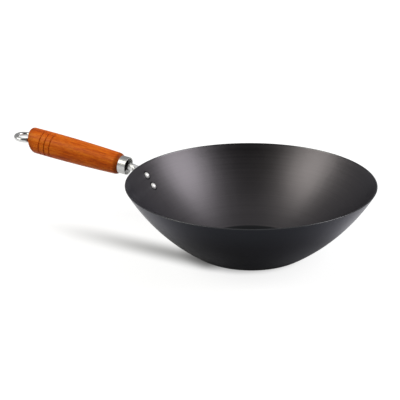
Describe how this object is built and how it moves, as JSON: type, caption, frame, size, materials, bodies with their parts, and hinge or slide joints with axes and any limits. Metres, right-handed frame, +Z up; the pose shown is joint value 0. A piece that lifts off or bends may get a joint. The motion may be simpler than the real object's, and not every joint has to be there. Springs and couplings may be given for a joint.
{
  "type": "carbon steel wok",
  "caption": "Flat-based carbon steel wok with a dark coated bowl, a riveted bright steel bracket and ferrule, a turned wooden grip and a hanging eye.",
  "frame": {"origin": "centre of the flat base, on the surface the wok stands on", "axes": "+Z up out of the bowl, +X along the handle seen from above, +Y to its left"},
  "size_m": [0.496, 0.3094, 0.1147],
  "materials": {
    "coated_steel": "dark satin cooking coat",
    "bright_steel": "polished plate",
    "rivet_steel": "tumbled bright",
    "wood": "varnished"
  },
  "bodies": {
    "root": {"wok_bowl": "coated_steel", "handle_bracket": "bright_steel", "upper_rivet": "rivet_steel", "lower_rivet": "rivet_steel", "ferrule": "bright_steel", "wooden_grip": "wood", "hanging_eye": "bright_steel"}
  },
  "joints": []
}
